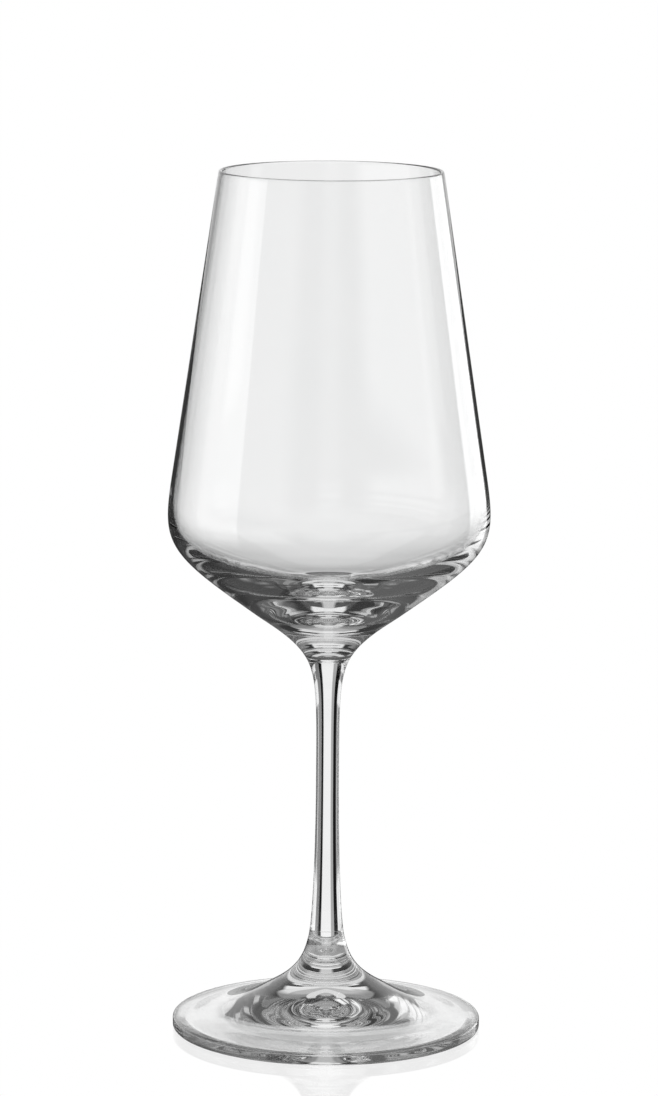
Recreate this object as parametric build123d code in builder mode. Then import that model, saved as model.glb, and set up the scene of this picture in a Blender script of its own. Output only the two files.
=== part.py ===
"""Stemmed wine glass in clear crystal glass: a blown bowl, a drawn stem and a pressed foot, fused end to end.

Millimetres, +Z up. The origin is the centre of the ring that the foot stands on.
Every outline is half of an axial section, drawn with X as the radius, and turned about Z.
A heading is the direction in which an outline runs downwards, in degrees away from straight down,
positive where the glass gets wider.
"""

import os
from math import cos, radians, sin

from build123d import *

# Heights above the table
HEIGHT = 230.0
UPPER_SEAM_Z = 101.0  # bowl fused to stem
LOWER_SEAM_Z = 25.0  # stem fused to foot
WAIST_Z = 68.0  # thinnest point of the stem

# Bowl, outside
RIM_RADIUS = 29.5
SIDE_END = Vector(41.2, 151.7)  # the straight side ends and the belly begins
CONE_TOP = Vector(24.0, 115.9)  # the belly ends and the straight cone begins
CONE_END = Vector(19.9, 112.9)  # the cone ends and the neck begins
BELLY_PULLS = (19.3, 25.2)
BOWL_NECK_PULLS = (4.8, 6.2)

# Bowl, inside
RIM_WALL = 0.95
SIDE_WALL = 1.1
INNER_BELLY_END = Vector(22.0, 120.8)  # the wall thickens from here into the pad under the cavity
INNER_BELLY_HEADING = -65.0
INNER_BELLY_PULLS = (16.6, 23.9)
CAVITY_FLOOR_Z = 114.5
CAVITY_FLOOR_PULLS = (5.0, 10.0)

# Stem
WAIST_RADIUS = 3.04
UPPER_SEAM_RADIUS = 6.16
UPPER_SEAM_HEADING = -31.8
LOWER_SEAM_RADIUS = 4.77
LOWER_SEAM_HEADING = 12.0
UPPER_STEM_PULLS = (6.4, 19.7)
LOWER_STEM_PULLS = (12.0, 6.4)

# Foot
FOOT_RADIUS = 41.1
FOOT_TOP = Vector(40.3, 3.3)  # the rounded edge begins
FOOT_TOP_HEADING = 86.0  # the disc slopes gently down to its edge
EDGE_TOP_Z = 2.5
EDGE_BOTTOM_Z = 0.9
EDGE_PULLS = (0.45, 0.45)
BOSS_END = Vector(15.5, 11.4)  # the boss under the stem runs out into the disc
BOSS_HEADING = 61.0
BOSS_PULLS = (6.0, 8.5)
DISC_PULLS = (4.5, 14.0)
REST_OUTER_RADIUS = 40.2  # the ring that touches the table
REST_INNER_RADIUS = 37.5
DISH_DEPTH = 7.0  # the underside rises to a hollow under the stem
DISH_PULLS = (4.0, 4.0)

SEAM_ROUND = 0.12  # fire-polished edge on each side of a fused seam


def heading(degrees):
    """Unit vector of an outline running down at this heading."""
    return Vector(sin(radians(degrees)), -cos(radians(degrees)))


def flow(start, start_way, end, end_way, pulls):
    """Smooth curve that leaves start along start_way and reaches end along end_way."""
    return Bezier(start, start + start_way * pulls[0], end - end_way * pulls[1], end)


# Bowl: thin side and belly, a wall that thickens down the cone, and a solid pad under the cavity
lip_centre = Vector(RIM_RADIUS - RIM_WALL / 2, HEIGHT - RIM_WALL / 2)
lip_top = Vector(lip_centre.X, HEIGHT)
lean = (SIDE_END - lip_centre).normalized()
side_outward = Vector(-lean.Y, lean.X)
lip_outer = lip_centre + side_outward * RIM_WALL / 2
lip_inner = lip_centre - side_outward * RIM_WALL / 2
side_way = (SIDE_END - lip_outer).normalized()
cone_way = (CONE_END - CONE_TOP).normalized()
inner_side_end = SIDE_END - Vector(SIDE_WALL, 0)
inner_side_way = (inner_side_end - lip_inner).normalized()
inner_belly_way = heading(INNER_BELLY_HEADING)
cavity_floor = Vector(0, CAVITY_FLOOR_Z)
upper_seam = Vector(UPPER_SEAM_RADIUS, UPPER_SEAM_Z)
upper_seam_way = heading(UPPER_SEAM_HEADING)

with BuildPart() as bowl:
    with BuildSketch(Plane.XZ):
        with BuildLine():
            Line(lip_outer, SIDE_END)
            flow(SIDE_END, side_way, CONE_TOP, cone_way, BELLY_PULLS)
            Line(CONE_TOP, CONE_END)
            flow(CONE_END, cone_way, upper_seam, upper_seam_way, BOWL_NECK_PULLS)
            Polyline(upper_seam, (0, UPPER_SEAM_Z), cavity_floor)
            flow(INNER_BELLY_END, inner_belly_way, cavity_floor, Vector(-1, 0), CAVITY_FLOOR_PULLS)
            flow(inner_side_end, inner_side_way, INNER_BELLY_END, inner_belly_way, INNER_BELLY_PULLS)
            Line(inner_side_end, lip_inner)
            ThreePointArc(lip_inner, lip_top, lip_outer)
        make_face()
    revolve(axis=Axis.Z)
    fillet(bowl.edges().group_by(Axis.Z)[0], radius=SEAM_ROUND)
bowl.part.label = "bowl"

# Stem: solid, thinnest at the waist and flared into both seams
waist = Vector(WAIST_RADIUS, WAIST_Z)
lower_seam = Vector(LOWER_SEAM_RADIUS, LOWER_SEAM_Z)
lower_seam_way = heading(LOWER_SEAM_HEADING)

with BuildPart() as stem:
    with BuildSketch(Plane.XZ):
        with BuildLine():
            flow(upper_seam, upper_seam_way, waist, heading(0), UPPER_STEM_PULLS)
            flow(waist, heading(0), lower_seam, lower_seam_way, LOWER_STEM_PULLS)
            Polyline(lower_seam, (0, LOWER_SEAM_Z), (0, UPPER_SEAM_Z), upper_seam)
        make_face()
    revolve(axis=Axis.Z)
    stem_ends = stem.edges().group_by(Axis.Z)
    fillet(stem_ends[0] + stem_ends[-1], radius=SEAM_ROUND)
stem.part.label = "stem"

# Foot: a boss under the stem that spreads into a disc with a narrow rim and a hollow underside
foot_top_way = heading(FOOT_TOP_HEADING)
edge_top = Vector(FOOT_RADIUS, EDGE_TOP_Z)
edge_bottom = Vector(FOOT_RADIUS, EDGE_BOTTOM_Z)
rest_outer = Vector(REST_OUTER_RADIUS, 0)
rest_inner = Vector(REST_INNER_RADIUS, 0)
dish_top = Vector(0, DISH_DEPTH)

with BuildPart() as foot:
    with BuildSketch(Plane.XZ):
        with BuildLine():
            flow(lower_seam, lower_seam_way, BOSS_END, heading(BOSS_HEADING), BOSS_PULLS)
            flow(BOSS_END, heading(BOSS_HEADING), FOOT_TOP, foot_top_way, DISC_PULLS)
            flow(FOOT_TOP, foot_top_way, edge_top, heading(0), EDGE_PULLS)
            Line(edge_top, edge_bottom)
            flow(edge_bottom, heading(0), rest_outer, Vector(-1, 0), EDGE_PULLS)
            Line(rest_outer, rest_inner)
            flow(rest_inner, Vector(-1, 0), dish_top, Vector(-1, 0), DISH_PULLS)
            Polyline(dish_top, (0, LOWER_SEAM_Z), lower_seam)
        make_face()
    revolve(axis=Axis.Z)
    fillet(foot.edges().group_by(Axis.Z)[-1], radius=SEAM_ROUND)
foot.part.label = "foot"

os.makedirs("parts", exist_ok=True)
for piece in (bowl.part, stem.part, foot.part):
    export_step(piece, f"parts/{piece.label}.step")
    print(piece.label, round(piece.volume / 1000, 2), "cm3")
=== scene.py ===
"""Looks of the wine glass: its three pieces of clear glass, turned from the same outlines as the CAD parts.

They stand in a bright-field studio: white, with dark flags that draw the outlines of the glass.
The flags and panels have a strength of their own for each kind of ray, which no real studio can do.
Outlines are in millimetres, as in the CAD, and the meshes and the studio in metres.
"""

from math import cos, pi, radians, sin, tau

import bmesh
import bpy
import numpy as np
from mathutils import Matrix, Vector

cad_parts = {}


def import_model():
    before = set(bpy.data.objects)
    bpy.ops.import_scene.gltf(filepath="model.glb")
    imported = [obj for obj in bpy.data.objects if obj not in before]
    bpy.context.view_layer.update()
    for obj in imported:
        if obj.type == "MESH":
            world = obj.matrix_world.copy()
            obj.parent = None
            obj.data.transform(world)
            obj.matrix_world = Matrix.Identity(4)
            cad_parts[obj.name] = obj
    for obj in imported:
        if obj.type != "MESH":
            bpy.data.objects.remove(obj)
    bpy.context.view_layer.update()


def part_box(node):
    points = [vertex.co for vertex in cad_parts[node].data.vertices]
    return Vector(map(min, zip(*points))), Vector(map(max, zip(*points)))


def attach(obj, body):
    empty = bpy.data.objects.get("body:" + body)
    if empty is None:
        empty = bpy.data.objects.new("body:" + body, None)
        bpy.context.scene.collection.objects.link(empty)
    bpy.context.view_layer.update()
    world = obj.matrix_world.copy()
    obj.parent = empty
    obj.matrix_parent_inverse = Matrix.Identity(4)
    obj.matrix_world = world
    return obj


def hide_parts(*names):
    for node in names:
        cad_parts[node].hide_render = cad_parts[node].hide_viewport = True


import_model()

MM = 0.001
SEGMENTS = 256  # around the axis
LIP_POINTS = 13
BOUNCES = 96  # light that is caught in the stem and the boss needs many turns to get out

# ---------------------------------------- outlines, as (radius, height) in millimetres


def point(radius, height):
    return np.array((radius, height), float)


def unit(vector):
    return vector / np.linalg.norm(vector)


def heading(degrees):
    """Direction of an outline running down, in degrees away from straight down, positive where it widens."""
    return point(sin(radians(degrees)), -cos(radians(degrees)))


def straight(start, end, step=1.0):
    count = max(1, round(np.linalg.norm(end - start) / step))
    return [start + (end - start) * i / count for i in range(count + 1)]


def flow(start, start_way, end, end_way, pulls, step=0.35):
    """Smooth curve that leaves start along start_way and reaches end along end_way."""
    a = start + start_way * pulls[0]
    b = end - end_way * pulls[1]
    count = max(8, round(np.linalg.norm(end - start) / step))
    curve = []
    for i in range(count + 1):
        t = i / count
        s = 1 - t
        curve.append(s ** 3 * start + 3 * t * s ** 2 * a + 3 * t * t * s * b + t ** 3 * end)
    return curve


def rounded(corner, way_in, way_out, radius, count=5):
    """Fillet of this radius where the outline turns a corner from way_in to way_out."""
    turn = np.arctan2(way_in[0] * way_out[1] - way_in[1] * way_out[0], way_in @ way_out)
    reach = radius * abs(np.tan(turn / 2))
    return flow(corner - way_in * reach, way_in, corner + way_out * reach, way_out,
                (reach * 0.6, reach * 0.6), reach / count)


stem_low, stem_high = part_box("stem")

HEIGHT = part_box("bowl")[1].z / MM
UPPER_SEAM_Z = stem_high.z / MM
LOWER_SEAM_Z = stem_low.z / MM
FOOT_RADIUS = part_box("foot")[1].x / MM

# Bowl
RIM_RADIUS = 29.5
RIM_WALL = 0.95
SIDE_END = point(41.2, 151.7)
CONE_TOP = point(24.0, 115.9)
CONE_END = point(19.9, 112.9)
BELLY_PULLS = (19.3, 25.2)
BOWL_NECK_PULLS = (4.8, 6.2)
SIDE_WALL = 1.1
INNER_BELLY_END = point(22.0, 120.8)
INNER_BELLY_WAY = heading(-65.0)
INNER_BELLY_PULLS = (16.6, 23.9)
CAVITY_FLOOR_Z = 114.5
CAVITY_FLOOR_PULLS = (5.0, 10.0)

# Stem
WAIST = point(3.04, 68.0)
UPPER_SEAM = point(6.16, UPPER_SEAM_Z)
UPPER_SEAM_WAY = heading(-31.8)
LOWER_SEAM = point(4.77, LOWER_SEAM_Z)
LOWER_SEAM_WAY = heading(12.0)
UPPER_STEM_PULLS = (6.4, 19.7)
LOWER_STEM_PULLS = (12.0, 6.4)

# Foot
FOOT_TOP = point(40.3, 3.3)
FOOT_TOP_WAY = heading(86.0)
EDGE_TOP = point(FOOT_RADIUS, 2.5)
EDGE_BOTTOM = point(FOOT_RADIUS, 0.9)
EDGE_PULLS = (0.45, 0.45)
BOSS_END = point(15.5, 11.4)
BOSS_WAY = heading(61.0)
BOSS_PULLS = (6.0, 8.5)
DISC_PULLS = (4.5, 14.0)
REST_OUTER = point(40.2, 0.0)
REST_INNER = point(37.5, 0.0)
DISH_TOP = point(0.0, 7.0)
DISH_PULLS = (4.0, 4.0)

SEAM_ROUND = 0.12  # fire-polished edge on each side of a fused seam

DOWN = heading(0)
INWARD = point(-1, 0)


def bowl_outline():
    lip_centre = point(RIM_RADIUS - RIM_WALL / 2, HEIGHT - RIM_WALL / 2)
    lean = unit(SIDE_END - lip_centre)
    outward = point(-lean[1], lean[0])
    lip_outer = lip_centre + outward * RIM_WALL / 2
    lip_inner = lip_centre - outward * RIM_WALL / 2
    side_way = unit(SIDE_END - lip_outer)
    cone_way = unit(CONE_END - CONE_TOP)
    inner_side_end = SIDE_END - point(SIDE_WALL, 0)
    inner_side_way = unit(inner_side_end - lip_inner)
    floor = point(0, CAVITY_FLOOR_Z)
    tilt = np.arctan2(outward[1], outward[0])
    lip_angles = np.linspace(tilt, tilt + pi, LIP_POINTS)
    lip = [lip_centre + RIM_WALL / 2 * point(cos(a), sin(a)) for a in lip_angles]
    seam_edge = rounded(UPPER_SEAM, UPPER_SEAM_WAY, INWARD, SEAM_ROUND)
    outside = [*straight(lip_outer, SIDE_END),
               *flow(SIDE_END, side_way, CONE_TOP, cone_way, BELLY_PULLS),
               *straight(CONE_TOP, CONE_END),
               *flow(CONE_END, cone_way, UPPER_SEAM, UPPER_SEAM_WAY, BOWL_NECK_PULLS)[:-1],
               *seam_edge]
    inside = [*straight(lip_inner, inner_side_end),
              *flow(inner_side_end, inner_side_way, INNER_BELLY_END, INNER_BELLY_WAY, INNER_BELLY_PULLS),
              *flow(INNER_BELLY_END, INNER_BELLY_WAY, floor, INWARD, CAVITY_FLOOR_PULLS)]
    return [*inside[::-1], *lip[::-1], *outside], point(0, UPPER_SEAM_Z)


def stem_outline():
    top_edge = rounded(UPPER_SEAM, point(1, 0), UPPER_SEAM_WAY, SEAM_ROUND)
    bottom_edge = rounded(LOWER_SEAM, LOWER_SEAM_WAY, INWARD, SEAM_ROUND)
    side = [*flow(UPPER_SEAM, UPPER_SEAM_WAY, WAIST, DOWN, UPPER_STEM_PULLS)[1:],
            *flow(WAIST, DOWN, LOWER_SEAM, LOWER_SEAM_WAY, LOWER_STEM_PULLS)[:-1]]
    return [*top_edge, *side, *bottom_edge], point(0, UPPER_SEAM_Z), point(0, LOWER_SEAM_Z)


def foot_outline():
    top_edge = rounded(LOWER_SEAM, point(1, 0), LOWER_SEAM_WAY, SEAM_ROUND)
    return [*top_edge,
            *flow(LOWER_SEAM, LOWER_SEAM_WAY, BOSS_END, BOSS_WAY, BOSS_PULLS)[1:],
            *flow(BOSS_END, BOSS_WAY, FOOT_TOP, FOOT_TOP_WAY, DISC_PULLS),
            *flow(FOOT_TOP, FOOT_TOP_WAY, EDGE_TOP, DOWN, EDGE_PULLS, 0.15),
            *straight(EDGE_TOP, EDGE_BOTTOM, 0.4),
            *flow(EDGE_BOTTOM, DOWN, REST_OUTER, INWARD, EDGE_PULLS, 0.15),
            REST_INNER,
            *flow(REST_INNER, INWARD, DISH_TOP, INWARD, DISH_PULLS)]


# ---------------------------------------------------------------- meshes


def distinct(outline):
    kept = [outline[0]]
    for p in outline[1:]:
        if np.linalg.norm(p - kept[-1]) > 1e-4:
            kept.append(p)
    return kept


def turn(name, outline, caps, materials):
    """Closed mesh turned about Z. The flat faces that end at a point in caps are the fused seams."""
    outline = distinct(outline)
    cap_heights = [c[1] for c in caps]
    vertices = []
    rings = []
    for radius, height in outline:
        if radius < 1e-6:
            rings.append([len(vertices)] * SEGMENTS)
            vertices.append((0, 0, height * MM))
            continue
        rings.append(list(range(len(vertices), len(vertices) + SEGMENTS)))
        for k in range(SEGMENTS):
            angle = tau * k / SEGMENTS
            vertices.append((radius * cos(angle) * MM, radius * sin(angle) * MM, height * MM))
    faces = []
    seams = []
    for (a, ring), (b, after) in zip(zip(outline, rings), zip(outline[1:], rings[1:])):
        is_cap = a[1] == b[1] and a[1] in cap_heights and min(a[0], b[0]) < 1e-6
        for k in range(SEGMENTS):
            following = (k + 1) % SEGMENTS
            corners = [ring[k], ring[following], after[following], after[k]]
            faces.append(list(dict.fromkeys(corners)))
            seams.append(is_cap)
    mesh = bpy.data.meshes.new(name)
    mesh.from_pydata(vertices, [], faces)
    for material in materials:
        mesh.materials.append(material)
    for face, is_cap in zip(mesh.polygons, seams):
        face.material_index = int(is_cap)
        face.use_smooth = not is_cap
    shell = bmesh.new()
    shell.from_mesh(mesh)
    bmesh.ops.recalc_face_normals(shell, faces=shell.faces)
    shell.to_mesh(mesh)
    shell.free()
    piece = bpy.data.objects.new(name, mesh)
    bpy.context.scene.collection.objects.link(piece)
    return piece


# ---------------------------------------------------------------- materials


INDEX = 1.52
WAVES_PER_METRE = 70.0
WAVE_HEIGHT = 0.00004
DRAWN_OUT = (1, 1, 0.4)  # waves run along the direction in which the glass was drawn
TINT = (0.985, 0.99, 0.99, 1)


def new_material(name):
    material = bpy.data.materials.new(name)
    material.use_nodes = True
    return material, material.node_tree.nodes, material.node_tree.links


def clear_glass():
    """Colourless glass with the very faint waves and tint of glass that is shaped and fire-polished hot."""
    material, nodes, links = new_material("clear_glass")
    shader = nodes["Principled BSDF"]
    place = nodes.new("ShaderNodeTexCoord")
    drawn = nodes.new("ShaderNodeMapping")
    drawn.inputs["Scale"].default_value = DRAWN_OUT
    links.new(place.outputs["Object"], drawn.inputs["Vector"])
    waves = nodes.new("ShaderNodeTexNoise")
    waves.inputs["Scale"].default_value = WAVES_PER_METRE
    waves.inputs["Detail"].default_value = 1.0
    links.new(drawn.outputs["Vector"], waves.inputs["Vector"])
    bump = nodes.new("ShaderNodeBump")
    bump.inputs["Strength"].default_value = 1.0
    bump.inputs["Distance"].default_value = WAVE_HEIGHT
    links.new(waves.outputs["Fac"], bump.inputs["Height"])
    links.new(bump.outputs["Normal"], shader.inputs["Normal"])
    tint = nodes.new("ShaderNodeValToRGB")
    tint.color_ramp.elements[0].color = TINT
    tint.color_ramp.elements[1].color = (1, 1, 1, 1)
    links.new(waves.outputs["Fac"], tint.inputs["Fac"])
    links.new(tint.outputs["Color"], shader.inputs["Base Color"])
    shader.inputs["Roughness"].default_value = 0.0
    shader.inputs["IOR"].default_value = INDEX
    shader.inputs["Transmission Weight"].default_value = 1.0
    return material


def fused_seam():
    """Two fused faces that touch inside the glass can't be seen."""
    material, nodes, _ = new_material("fused_seam")
    nodes["Principled BSDF"].inputs["Alpha"].default_value = 0.0
    return material


glass = clear_glass()
seam = fused_seam()

bowl_line, bowl_cap = bowl_outline()
bowl = turn("bowl_glass", [*bowl_line, bowl_cap], [bowl_cap], [glass, seam])
stem_line, stem_top, stem_bottom = stem_outline()
stem = turn("stem_glass", [stem_top, *stem_line, stem_bottom], [stem_top, stem_bottom], [glass, seam])
foot_cap = point(0, LOWER_SEAM_Z)
foot = turn("foot_glass", [foot_cap, *foot_outline()], [foot_cap], [glass, seam])

for piece, node in ((bowl, "bowl"), (stem, "stem"), (foot, "foot")):
    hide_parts(node)
    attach(piece, "root")

# ---------------------------------------------------------------- studio

# The round wall and the ceiling are hung with white panels and black flags. Each is written as (azimuths,
# reaches, strength, softness of its edges), and a later one covers an earlier one. Azimuths are in degrees,
# 0 straight behind the glass and growing to the right. A reach is the metres up the wall from the table and
# then in along the ceiling. It starts below 0, so that a panel is at full strength where the wall meets the
# table.

WALL_DISTANCE = 3.0
CEILING = 3.2
ZENITH = CEILING + WALL_DISTANCE
WHITE = 0.93
SHARP = (2.0, 0.05)
ALL_ROUND = (-360, 360)
TABLE_UP = -1.0
ALL = (ALL_ROUND, (TABLE_UP, ZENITH + 1))
WALL = (TABLE_UP, CEILING)
OVERHEAD = 9.0  # past the zenith


def both_sides(low, high, along, strength, softness=SHARP):
    """The same panel on the left and on the right."""
    return ((-high, -low), along, strength, softness), ((low, high), along, strength, softness)


# What the surface of the glass mirrors: a broad softbox on the left and a narrow one on the right.
GLEAMS = (
    (*ALL, 0.35, SHARP),
    (ALL_ROUND, (1.0, OVERHEAD), 0.1, (1.0, 0.8)),
    ((-45, -5), (TABLE_UP, 0.9), 0.04, (12.0, 0.3)),
    ((-190, -60), (TABLE_UP, 1.1), 3.0, (40.0, 0.9)),
    ((-190, -112), (TABLE_UP, 1.6), 0.35, SHARP),
    ((5, 27), (TABLE_UP, 0.9), 0.04, (3.0, 0.3)),
    ((28, 61), (TABLE_UP, 0.9), 3.4, (3.0, 0.9)),
)
# What is mirrored inside the glass: the backdrop, the softboxes further off, and a dark camera side.
INNER_GLEAMS = (
    (*ALL, 0.03, SHARP),
    (ALL_ROUND, (3.2, OVERHEAD), 0.1, (2.0, 0.5)),
    ((-150, -80), (0.2, 1.5), 1.0, (14.0, 0.4)),
    ((82, 98), (0.3, 1.0), 0.5, (6.0, 0.1)),
    *both_sides(172, 360, (0.3, 1.0), 0.5, (6.0, 0.1)),
    ((-80, -37), WALL, 0.12, (10.0, 0.1)),
    ((-86, -70), (TABLE_UP, 0.9), 0.6, (3.0, 0.2)),
    ((-47, -38), (TABLE_UP, 0.9), 0.45, (3.0, 0.2)),
    ((-4, 4), (TABLE_UP, 0.38), 0.6, SHARP),
    ((-12, 12), (0.38, 0.98), 0.9, SHARP),
    ((-28, 30), (0.98, CEILING), 0.28, (10.0, 0.1)),
    ((-12, 14), (0.98, CEILING), 0.5, (6.0, 0.1)),
    ((-5, 14), (0.98, 1.5), 0.8, (4.0, 0.1)),
    ((-52, 54), (CEILING, 4.6), 0.75, (8.0, 0.1)),
    ((-20, 20), (4.6, 5.4), 0.5, (10.0, 0.3)),
    ((23, 50), (TABLE_UP, 0.4), 0.3, (6.0, 0.2)),
    ((23, 50), (0.4, 1.0), 0.14, (6.0, 0.2)),
    ((23, 50), (1.0, 2.2), 0.25, (6.0, 0.4)),
    ((50, 65), WALL, 0.07, (6.0, 0.2)),
    *both_sides(130, 360, (2.1, 5.8), 0.33, (20.0, 0.5)),
)
# What shows straight through the stem, the foot or one wall of the bowl.
SEEN_THROUGH = (
    (*ALL, WHITE, SHARP),
    ((-37, -21), WALL, 0.0, SHARP),
    ((-21, -12), WALL, 0.4, SHARP),
    ((15, 24), WALL, 0.0, SHARP),
    ((24, 37), WALL, 0.2, SHARP),
    *both_sides(37, 82, (0.3, 0.85), 0.15),
    *both_sides(43, 47, WALL, WHITE),
    *both_sides(102, 124, WALL, 0.0),
    *both_sides(146, 168, WALL, 0.0),
)
# What shows through both walls of the bowl.
SEEN_THROUGH_BOWL = (
    (*ALL, WHITE, SHARP),
    ((-14, 14), (1.1, CEILING), 0.7, (6.0, 0.5)),
    ((-14, 14), (1.9, CEILING), 0.5, (6.0, 0.8)),
    ((-90, 90), (3.3, OVERHEAD), 0.1, (6.0, 0.2)),
)
PANEL_SETS = {"gleams": GLEAMS, "inner_gleams": INNER_GLEAMS, "seen_through": SEEN_THROUGH,
              "seen_through_bowl": SEEN_THROUGH_BOWL}
ANY = 0.5
TWO_WALLS = 3.5  # each wall is two surfaces

WALL_COLUMNS = 360
WALL_ROWS = 80
CEILING_ROWS = 60
CEILING_SHARE = 0.999  # the ceiling stops just short of the axis, so that no face there has zero width
TABLE_WHITE_REACH = 1.6
TABLE_WHITE_LEAST = 0.3
MIRROR_FADING = ((0.1, 0.4), (1.0, 0.5))  # the steeper it is looked at, the less the table mirrors

DISC_SIDES = 96
TABLE_RADIUS = 6.0
TABLE_GLOW = 1.0
TABLE_MIRROR = 0.2
UNDER_FOOT_Z = -0.0002
UNDER_FOOT_RADIUS = 0.0405
UNDER_FOOT_GLOW = 0.72
UNDER_FOOT_MIRROR = 0.75

SENSOR = 36.0
LENS = 162.87
CAMERA_PLACE = (0, -1.293, 0.346)
CAMERA_PITCH = 9.482  # degrees down
CAMERA_ROLL = 0.382


def covered(values, span, softness):
    low, high = span
    return np.clip((values - low) / softness + 0.5, 0, 1) * np.clip((high - values) / softness + 0.5, 0, 1)


def panel_light(panels, azimuths, reaches):
    light = np.zeros(len(azimuths))
    for across, along, strength, (soft_degrees, soft_metres) in panels:
        share = covered(azimuths, across, soft_degrees) * covered(reaches, along, soft_metres)
        light = light * (1 - share) + strength * share
    return light


def stage_mesh(name, vertices, faces, material):
    mesh = bpy.data.meshes.new(name)
    mesh.from_pydata(vertices, [], faces)
    mesh.materials.append(material)
    made = bpy.data.objects.new(name, mesh)
    bpy.context.scene.collection.objects.link(made)
    return made


def disc_points(height, radius):
    turns = [tau * k / DISC_SIDES for k in range(DISC_SIDES)]
    return [(radius * cos(angle), radius * sin(angle), height) for angle in turns]


def hide_from_camera(made):
    """The camera sees the white world or the table instead. The glass and the table still mirror this."""
    made.visible_camera = False


def mix_values(nodes, links, factor, first, second):
    mix = nodes.new("ShaderNodeMix")
    links.new(factor, mix.inputs["Factor"])
    for socket, value in ((mix.inputs["A"], first), (mix.inputs["B"], second)):
        links.new(value, socket)
    return mix.outputs["Result"]


def wall_light():
    """Emission with the strength of the panel set that goes with the ray's way through the glass."""
    material, nodes, links = new_material("studio_light")
    nodes.remove(nodes["Principled BSDF"])
    path = nodes.new("ShaderNodeLightPath")

    def more_than(output, count):
        test = nodes.new("ShaderNodeMath")
        test.operation = "GREATER_THAN"
        test.inputs[1].default_value = count
        links.new(path.outputs[output], test.inputs[0])
        return test.outputs["Value"]

    strengths = {}
    for name in PANEL_SETS:
        attribute = nodes.new("ShaderNodeAttribute")
        attribute.attribute_name = name
        strengths[name] = attribute.outputs["Fac"]
    through = mix_values(nodes, links, more_than("Transmission Depth", TWO_WALLS),
                         strengths["seen_through"], strengths["seen_through_bowl"])
    mirrored = mix_values(nodes, links, more_than("Transmission Depth", ANY),
                          strengths["gleams"], strengths["inner_gleams"])
    light = nodes.new("ShaderNodeEmission")
    strength = mix_values(nodes, links, more_than("Glossy Depth", ANY), through, mirrored)
    links.new(strength, light.inputs["Strength"])
    links.new(light.outputs["Emission"], nodes["Material Output"].inputs["Surface"])
    return material


def studio():
    """Round wall and ceiling, and their mirror image below the table, which lights the foot from below.

    The lower part of the real wall gleams white, because that is where the table's mirror looks.
    """
    light = wall_light()
    wall_reaches = np.linspace(0, CEILING, WALL_ROWS + 1)
    ceiling_reaches = np.linspace(CEILING, ZENITH, CEILING_ROWS + 1)[1:]
    reaches = np.concatenate((wall_reaches, ceiling_reaches))
    azimuth, reach = np.meshgrid(np.linspace(-180, 180, WALL_COLUMNS + 1), reaches)
    azimuth, reach = azimuth.ravel(), reach.ravel()
    turned = np.radians(azimuth)
    height = np.minimum(reach, CEILING)
    radius = WALL_DISTANCE - np.maximum(reach - CEILING, 0) * CEILING_SHARE
    row_length = WALL_COLUMNS + 1
    row_starts = [row * row_length for row in range(len(reaches) - 1)]
    corners = [start + column for start in row_starts for column in range(WALL_COLUMNS)]
    faces = [(k, k + 1, k + row_length + 1, k + row_length) for k in corners]
    strengths = {name: panel_light(panels, azimuth, reach) for name, panels in PANEL_SETS.items()}
    table_white = np.clip(TABLE_WHITE_REACH + 1 - reach, TABLE_WHITE_LEAST, 1)
    fading = np.interp(reach, *MIRROR_FADING)
    above = {**strengths, "gleams": np.maximum(strengths["gleams"], table_white)}
    below = {**strengths, "gleams": strengths["gleams"] * fading}
    for name, side, lights in (("studio_wall", 1, above), ("studio_wall_mirrored", -1, below)):
        vertices = np.stack((radius * np.sin(turned), radius * np.cos(turned), side * height), 1)
        wall = stage_mesh(name, vertices.tolist(), faces, light)
        for kind, values in lights.items():
            wall.data.attributes.new(kind, "FLOAT", "POINT").data.foreach_set("value", values)
        hide_from_camera(wall)


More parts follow.
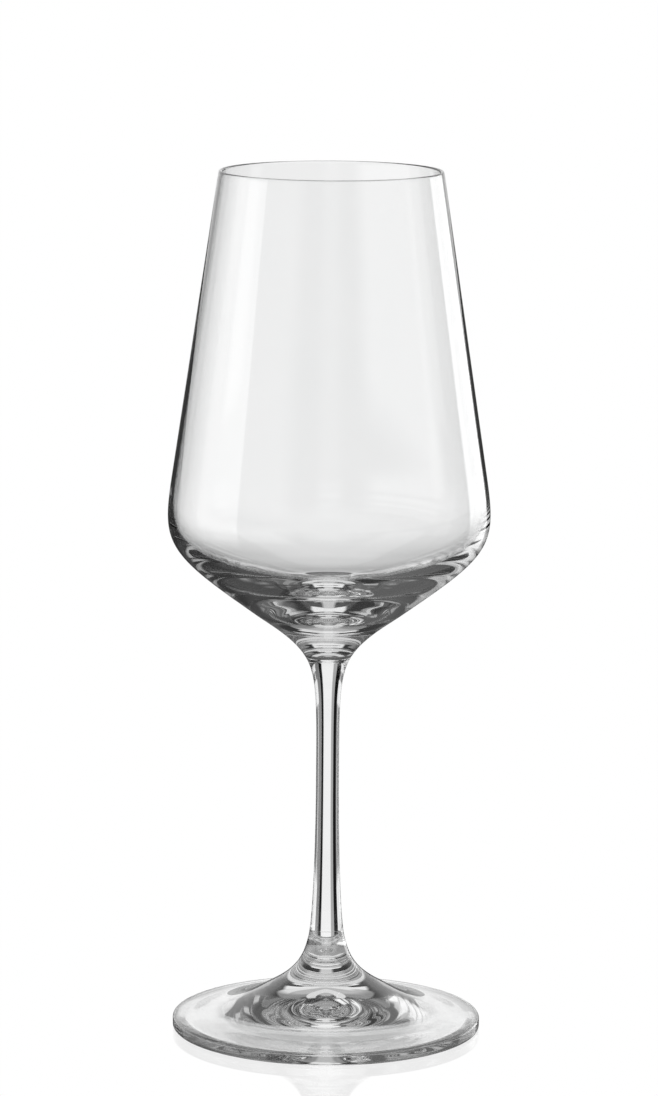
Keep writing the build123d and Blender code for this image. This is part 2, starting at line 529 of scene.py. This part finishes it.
def table_part(name, height, radius, glow, mirror):
    """Disc of the polished table: it glows white, with this share of mirror."""
    material, nodes, links = new_material(name)
    nodes.remove(nodes["Principled BSDF"])
    light = nodes.new("ShaderNodeEmission")
    light.inputs["Strength"].default_value = glow
    gloss = nodes.new("ShaderNodeBsdfGlossy")
    gloss.inputs["Color"].default_value = (1, 1, 1, 1)
    gloss.inputs["Roughness"].default_value = 0.0
    mix = nodes.new("ShaderNodeMixShader")
    mix.inputs["Fac"].default_value = mirror
    links.new(light.outputs["Emission"], mix.inputs[1])
    links.new(gloss.outputs["BSDF"], mix.inputs[2])
    links.new(mix.outputs["Shader"], nodes["Material Output"].inputs["Surface"])
    return stage_mesh(name, disc_points(height, radius), [tuple(range(DISC_SIDES))], material)


def table():
    """The camera sees the whole table, and the glass sees the disc right under its foot."""
    seen = table_part("table", 0.0, TABLE_RADIUS, TABLE_GLOW, TABLE_MIRROR)
    for ray in ("visible_diffuse", "visible_glossy", "visible_transmission", "visible_shadow"):
        setattr(seen, ray, False)
    under_foot = table_part("table_under_foot", UNDER_FOOT_Z, UNDER_FOOT_RADIUS, UNDER_FOOT_GLOW,
                            UNDER_FOOT_MIRROR)
    hide_from_camera(under_foot)


def world():
    made = bpy.data.worlds.new("studio")
    made.use_nodes = True
    background = made.node_tree.nodes["Background"]
    background.inputs["Color"].default_value = (1, 1, 1, 1)
    background.inputs["Strength"].default_value = 1.0
    bpy.context.scene.world = made


def camera():
    data = bpy.data.cameras.new("camera")
    data.sensor_width = SENSOR
    data.lens = LENS
    data.clip_end = 20.0
    made = bpy.data.objects.new("camera", data)
    bpy.context.scene.collection.objects.link(made)
    place = Matrix.Translation(Vector(CAMERA_PLACE))
    pitch = Matrix.Rotation(radians(90 - CAMERA_PITCH), 4, "X")
    roll = Matrix.Rotation(radians(CAMERA_ROLL), 4, "Z")
    made.matrix_world = place @ pitch @ roll
    bpy.context.scene.camera = made


table()
world()
studio()
camera()

scene = bpy.context.scene
scene.view_settings.view_transform = "Standard"
scene.cycles.max_bounces = BOUNCES
scene.cycles.transmission_bounces = BOUNCES
scene.cycles.glossy_bounces = BOUNCES
scene.cycles.transparent_max_bounces = BOUNCES
